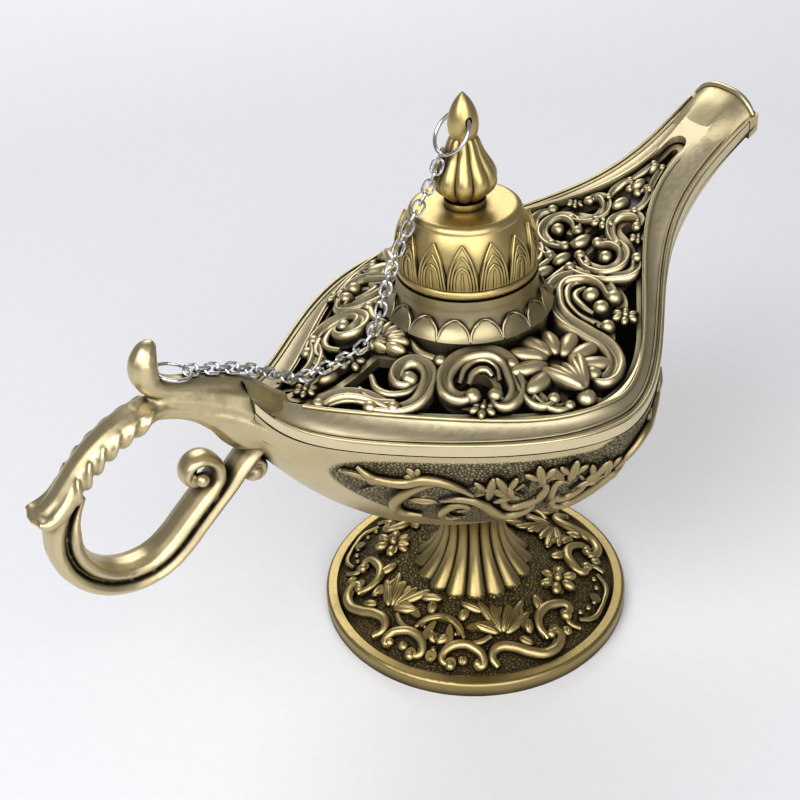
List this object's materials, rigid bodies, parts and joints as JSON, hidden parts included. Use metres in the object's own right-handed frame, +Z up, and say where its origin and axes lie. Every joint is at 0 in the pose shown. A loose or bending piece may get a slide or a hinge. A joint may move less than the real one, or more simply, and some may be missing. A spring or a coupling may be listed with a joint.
{
  "type": "genie oil lamp",
  "caption": "Decorative boat-shaped oil lamp on a reeded foot, with a scroll handle, a pierced scrollwork cover and a lift-off lid with finial kept on a fine chain.",
  "frame": {"origin": "on the table under the centre of the round foot", "axes": "+X towards the spout, +Y to the lamp's left seen from the handle, +Z up"},
  "size_m": [0.2011, 0.1022, 0.1488],
  "materials": {
    "brass": "antiqued, dark in the recesses",
    "chain": "bright",
    "screw": "plain"
  },
  "bodies": {
    "base": {"foot": "brass", "bowl": "brass", "cover_frame": "brass", "openwork": "brass", "collar": "brass", "handle": "brass", "horn_ring": "chain", "foot_screw": "screw", "chain_link_38": "chain"},
    "lid": {"lid": "brass", "finial": "brass", "lid_screw": "screw", "finial_ring": "chain", "chain_link_01": "chain", "chain_link_02": "chain", "chain_link_03": "chain", "chain_link_04": "chain", "chain_link_05": "chain", "chain_link_06": "chain", "chain_link_07": "chain", "chain_link_08": "chain", "chain_link_09": "chain", "chain_link_10": "chain", "chain_link_11": "chain", "chain_link_12": "chain", "chain_link_13": "chain", "chain_link_14": "chain", "chain_link_15": "chain", "chain_link_16": "chain", "chain_link_17": "chain", "chain_link_18": "chain"},
    "chain_link_19": {"chain_link_19": "chain"},
    "chain_link_20": {"chain_link_20": "chain"},
    "chain_link_21": {"chain_link_21": "chain"},
    "chain_link_22": {"chain_link_22": "chain"},
    "chain_link_23": {"chain_link_23": "chain"},
    "chain_link_24": {"chain_link_24": "chain"},
    "chain_link_25": {"chain_link_25": "chain"},
    "chain_link_26": {"chain_link_26": "chain"},
    "chain_link_27": {"chain_link_27": "chain"},
    "chain_link_28": {"chain_link_28": "chain"},
    "chain_link_29": {"chain_link_29": "chain"},
    "chain_link_30": {"chain_link_30": "chain"},
    "chain_link_31": {"chain_link_31": "chain"},
    "chain_link_32": {"chain_link_32": "chain"},
    "chain_link_33": {"chain_link_33": "chain"},
    "chain_link_34": {"chain_link_34": "chain"},
    "chain_link_35": {"chain_link_35": "chain"},
    "chain_link_36": {"chain_link_36": "chain"},
    "chain_link_37": {"chain_link_37": "chain"}
  },
  "joints": [
    {"name": "lid_lift", "type": "slide", "parent": "base", "child": "lid", "axis": [0, 0, 1], "range_m": [0, 0.007]},
    {"name": "chain_link_19_rise", "type": "slide", "parent": "base", "child": "chain_link_19", "axis": [0, 0, 1], "range_m": [0, 0.00685]},
    {"name": "chain_link_20_rise", "type": "slide", "parent": "base", "child": "chain_link_20", "axis": [0, 0, 1], "range_m": [0, 0.0065]},
    {"name": "chain_link_21_rise", "type": "slide", "parent": "base", "child": "chain_link_21", "axis": [0, 0, 1], "range_m": [0, 0.00615]},
    {"name": "chain_link_22_rise", "type": "slide", "parent": "base", "child": "chain_link_22", "axis": [0, 0, 1], "range_m": [0, 0.0058]},
    {"name": "chain_link_23_rise", "type": "slide", "parent": "base", "child": "chain_link_23", "axis": [0, 0, 1], "range_m": [0, 0.00545]},
    {"name": "chain_link_24_rise", "type": "slide", "parent": "base", "child": "chain_link_24", "axis": [0, 0, 1], "range_m": [0, 0.0051]},
    {"name": "chain_link_25_rise", "type": "slide", "parent": "base", "child": "chain_link_25", "axis": [0, 0, 1], "range_m": [0, 0.00475]},
    {"name": "chain_link_26_rise", "type": "slide", "parent": "base", "child": "chain_link_26", "axis": [0, 0, 1], "range_m": [0, 0.0044]},
    {"name": "chain_link_27_rise", "type": "slide", "parent": "base", "child": "chain_link_27", "axis": [0, 0, 1], "range_m": [0, 0.00405]},
    {"name": "chain_link_28_rise", "type": "slide", "parent": "base", "child": "chain_link_28", "axis": [0, 0, 1], "range_m": [0, 0.0037]},
    {"name": "chain_link_29_rise", "type": "slide", "parent": "base", "child": "chain_link_29", "axis": [0, 0, 1], "range_m": [0, 0.00335]},
    {"name": "chain_link_30_rise", "type": "slide", "parent": "base", "child": "chain_link_30", "axis": [0, 0, 1], "range_m": [0, 0.003]},
    {"name": "chain_link_31_rise", "type": "slide", "parent": "base", "child": "chain_link_31", "axis": [0, 0, 1], "range_m": [0, 0.00265]},
    {"name": "chain_link_32_rise", "type": "slide", "parent": "base", "child": "chain_link_32", "axis": [0, 0, 1], "range_m": [0, 0.0023]},
    {"name": "chain_link_33_rise", "type": "slide", "parent": "base", "child": "chain_link_33", "axis": [0, 0, 1], "range_m": [0, 0.00195]},
    {"name": "chain_link_34_rise", "type": "slide", "parent": "base", "child": "chain_link_34", "axis": [0, 0, 1], "range_m": [0, 0.0016]},
    {"name": "chain_link_35_rise", "type": "slide", "parent": "base", "child": "chain_link_35", "axis": [0, 0, 1], "range_m": [0, 0.00125]},
    {"name": "chain_link_36_rise", "type": "slide", "parent": "base", "child": "chain_link_36", "axis": [0, 0, 1], "range_m": [0, 0.0009]},
    {"name": "chain_link_37_rise", "type": "slide", "parent": "base", "child": "chain_link_37", "axis": [0, 0, 1], "range_m": [0, 0.00055]}
  ],
  "couplings": [
    {"joint": "chain_link_19_rise", "follows": "lid_lift", "ratio": 0.95},
    {"joint": "chain_link_20_rise", "follows": "lid_lift", "ratio": 0.9},
    {"joint": "chain_link_21_rise", "follows": "lid_lift", "ratio": 0.85},
    {"joint": "chain_link_22_rise", "follows": "lid_lift", "ratio": 0.8},
    {"joint": "chain_link_23_rise", "follows": "lid_lift", "ratio": 0.75},
    {"joint": "chain_link_24_rise", "follows": "lid_lift", "ratio": 0.7},
    {"joint": "chain_link_25_rise", "follows": "lid_lift", "ratio": 0.65},
    {"joint": "chain_link_26_rise", "follows": "lid_lift", "ratio": 0.6},
    {"joint": "chain_link_27_rise", "follows": "lid_lift", "ratio": 0.55},
    {"joint": "chain_link_28_rise", "follows": "lid_lift", "ratio": 0.5},
    {"joint": "chain_link_29_rise", "follows": "lid_lift", "ratio": 0.45},
    {"joint": "chain_link_30_rise", "follows": "lid_lift", "ratio": 0.4},
    {"joint": "chain_link_31_rise", "follows": "lid_lift", "ratio": 0.35},
    {"joint": "chain_link_32_rise", "follows": "lid_lift", "ratio": 0.3},
    {"joint": "chain_link_33_rise", "follows": "lid_lift", "ratio": 0.25},
    {"joint": "chain_link_34_rise", "follows": "lid_lift", "ratio": 0.2},
    {"joint": "chain_link_35_rise", "follows": "lid_lift", "ratio": 0.15},
    {"joint": "chain_link_36_rise", "follows": "lid_lift", "ratio": 0.1},
    {"joint": "chain_link_37_rise", "follows": "lid_lift", "ratio": 0.05}
  ]
}
